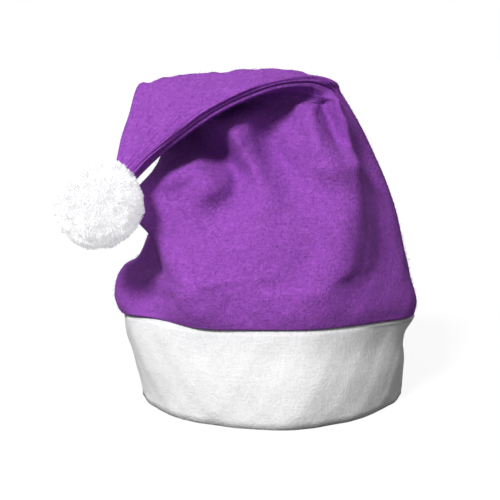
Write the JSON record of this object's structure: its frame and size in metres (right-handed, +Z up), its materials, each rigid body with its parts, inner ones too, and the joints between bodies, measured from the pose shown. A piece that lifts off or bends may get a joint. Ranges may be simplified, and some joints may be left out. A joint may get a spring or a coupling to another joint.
{
  "type": "santa hat",
  "caption": "Soft felt santa hat with a turned-out band and a folded-over tip that ends in a plush pompom, hollow for the head.",
  "frame": {"origin": "on the surface that the rim stands on, under the middle of the hat's box", "axes": "+Z up, the front of the hat faces -Y, the folded tip and its pompom fall towards -X"},
  "size_m": [0.2438, 0.1782, 0.2256],
  "materials": {
    "purple_felt": "matt non-woven felt with fine mottled fibres",
    "white_felt": "matt white non-woven felt",
    "white_plush": "soft white plush pile"
  },
  "bodies": {
    "root": {"crown_front": "purple_felt", "crown_back": "purple_felt", "band_front": "white_felt", "band_back": "white_felt", "pompom": "white_plush"}
  },
  "joints": []
}
